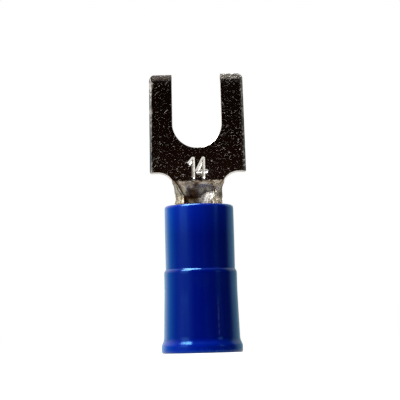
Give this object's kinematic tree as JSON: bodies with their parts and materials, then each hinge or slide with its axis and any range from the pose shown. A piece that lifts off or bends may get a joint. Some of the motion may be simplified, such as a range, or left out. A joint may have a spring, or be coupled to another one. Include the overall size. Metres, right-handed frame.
{
  "type": "fork terminal",
  "caption": "Insulated crimp fork terminal: a tinned copper tongue slotted for a screw, rolled into a wire barrel and pressed into a flared blue vinyl sleeve.",
  "frame": {"origin": "centre of the sleeve's mouth, in the plane of its rim", "axes": "+Z along the barrel towards the tips of the fork; -Y out of the face with the struck number and the open throat; +X across the tines"},
  "size_m": [0.0074, 0.0062, 0.0214],
  "materials": {
    "tin_plate": "gloss",
    "blue_vinyl": "gloss"
  },
  "bodies": {
    "root": {"fork_lug": "tin_plate", "insulating_sleeve": "blue_vinyl"}
  },
  "joints": []
}
